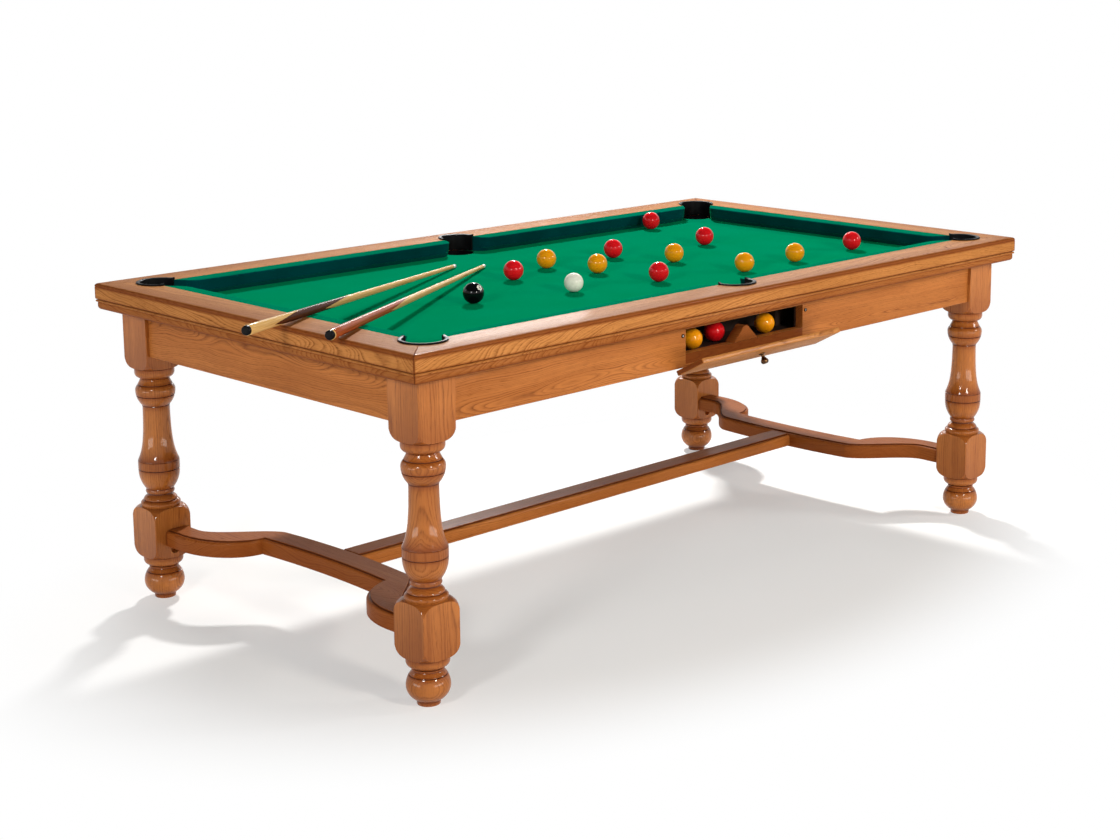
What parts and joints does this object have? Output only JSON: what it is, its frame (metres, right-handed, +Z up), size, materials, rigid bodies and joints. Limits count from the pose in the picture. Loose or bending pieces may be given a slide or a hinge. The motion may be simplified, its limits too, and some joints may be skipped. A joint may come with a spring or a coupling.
{
  "type": "convertible billiard table",
  "caption": "Oak billiard table on turned legs with an H stretcher, green cloth bed, lined pockets, ball runs under the slate and a drop-down ball-return flap, with balls and cues.",
  "frame": {"origin": "on the floor, under the middle of the rail frame", "axes": "+X along the table's length, +Z up; the long side with the ball-return flap faces -Y"},
  "size_m": [2.2839, 1.2346, 0.8195],
  "materials": {
    "oak": "stained and lacquered",
    "dark_oak": "plain",
    "slate": "honed",
    "green_cloth": "napped",
    "black_rubber": "satin",
    "plywood": "plain",
    "bronze": "dark bronzed",
    "red_ball": "polished",
    "yellow_ball": "polished",
    "black_ball": "polished",
    "white_ball": "polished",
    "maple": "lacquered",
    "mahogany": "lacquered"
  },
  "bodies": {
    "table": {"leg_front_left": "oak", "leg_front_right": "oak", "leg_back_left": "oak", "leg_back_right": "oak", "apron_front": "oak", "apron_back": "oak", "apron_left": "oak", "apron_right": "oak", "slate_bearer_front": "dark_oak", "slate_bearer_back": "dark_oak", "end_stretcher_left": "oak", "end_stretcher_right": "oak", "long_stretcher": "oak", "slate_bed": "slate", "bed_cloth": "green_cloth", "rail_front": "oak", "rail_right": "oak", "rail_back": "oak", "rail_left": "oak", "cushion_front_left": "green_cloth", "cushion_front_right": "green_cloth", "cushion_right": "green_cloth", "cushion_back_right": "green_cloth", "cushion_back_left": "green_cloth", "cushion_left": "green_cloth", "pocket_liner_front_left": "black_rubber", "pocket_liner_middle_front": "black_rubber", "pocket_liner_front_right": "black_rubber", "pocket_liner_back_right": "black_rubber", "pocket_liner_middle_back": "black_rubber", "pocket_liner_back_left": "black_rubber", "ball_trough_front": "plywood", "ball_trough_back": "plywood", "cross_chute": "plywood", "tray_divider": "oak", "flap_hinge_left": "bronze", "flap_hinge_right": "bronze", "flap_catch_left": "bronze", "flap_catch_right": "bronze"},
    "flap": {"return_flap": "oak", "flap_knob": "bronze"},
    "red_1": {"ball_red_1": "red_ball"},
    "red_2": {"ball_red_2": "red_ball"},
    "red_3": {"ball_red_3": "red_ball"},
    "red_4": {"ball_red_4": "red_ball"},
    "red_5": {"ball_red_5": "red_ball"},
    "red_6": {"ball_red_6": "red_ball"},
    "red_7": {"ball_red_7": "red_ball"},
    "yellow_1": {"ball_yellow_1": "yellow_ball"},
    "yellow_2": {"ball_yellow_2": "yellow_ball"},
    "yellow_3": {"ball_yellow_3": "yellow_ball"},
    "yellow_4": {"ball_yellow_4": "yellow_ball"},
    "yellow_5": {"ball_yellow_5": "yellow_ball"},
    "yellow_6": {"ball_yellow_6": "yellow_ball"},
    "yellow_7": {"ball_yellow_7": "yellow_ball"},
    "black": {"ball_black": "black_ball"},
    "white": {"ball_white": "white_ball"},
    "maple_cue": {"cue_maple": "maple"},
    "mahogany_cue": {"cue_mahogany": "mahogany"}
  },
  "joints": [
    {"name": "ball_door_hinge", "type": "hinge", "parent": "table", "child": "flap", "pos_m": [0, -0.54725, 0.6112], "axis": [1, 0, 0], "range_deg": [-62, 0]},
    {"name": "cue_mahogany_lift", "type": "slide", "parent": "table", "child": "mahogany_cue", "axis": [0, 0, 1], "range_m": [0, 0.15]},
    {"name": "cue_maple_lift", "type": "slide", "parent": "table", "child": "maple_cue", "axis": [0, 0, 1], "range_m": [0, 0.15]},
    {"name": "roll_black", "type": "slide", "parent": "table", "child": "black", "axis": [1, 0, 0], "range_m": [-0.04, 0.04]},
    {"name": "roll_red_1", "type": "slide", "parent": "table", "child": "red_1", "axis": [1, 0, 0], "range_m": [-0.04, 0.04]},
    {"name": "roll_red_2", "type": "slide", "parent": "table", "child": "red_2", "axis": [1, 0, 0], "range_m": [-0.04, 0.04]},
    {"name": "roll_red_3", "type": "slide", "parent": "table", "child": "red_3", "axis": [1, 0, 0], "range_m": [-0.04, 0.04]},
    {"name": "roll_red_4", "type": "slide", "parent": "table", "child": "red_4", "axis": [1, 0, 0], "range_m": [-0.04, 0.04]},
    {"name": "roll_red_5", "type": "slide", "parent": "table", "child": "red_5", "axis": [1, 0, 0], "range_m": [-0.04, 0.04]},
    {"name": "roll_red_6", "type": "slide", "parent": "table", "child": "red_6", "axis": [1, 0, 0], "range_m": [-0.04, 0.04]},
    {"name": "roll_red_7", "type": "slide", "parent": "table", "child": "red_7", "axis": [1, 0, 0], "range_m": [-0.03, 0.06]},
    {"name": "roll_white", "type": "slide", "parent": "table", "child": "white", "axis": [1, 0, 0], "range_m": [-0.04, 0.04]},
    {"name": "roll_yellow_1", "type": "slide", "parent": "table", "child": "yellow_1", "axis": [1, 0, 0], "range_m": [-0.04, 0.04]},
    {"name": "roll_yellow_2", "type": "slide", "parent": "table", "child": "yellow_2", "axis": [1, 0, 0], "range_m": [-0.04, 0.04]},
    {"name": "roll_yellow_3", "type": "slide", "parent": "table", "child": "yellow_3", "axis": [1, 0, 0], "range_m": [-0.04, 0.04]},
    {"name": "roll_yellow_4", "type": "slide", "parent": "table", "child": "yellow_4", "axis": [1, 0, 0], "range_m": [-0.04, 0.04]},
    {"name": "roll_yellow_5", "type": "slide", "parent": "table", "child": "yellow_5", "axis": [1, 0, 0], "range_m": [-0.04, 0.04]},
    {"name": "roll_yellow_6", "type": "slide", "parent": "table", "child": "yellow_6", "axis": [1, 0, 0], "range_m": [-0.04, 0.02]},
    {"name": "roll_yellow_7", "type": "slide", "parent": "table", "child": "yellow_7", "axis": [1, 0, 0], "range_m": [-0.03, 0.05]}
  ]
}
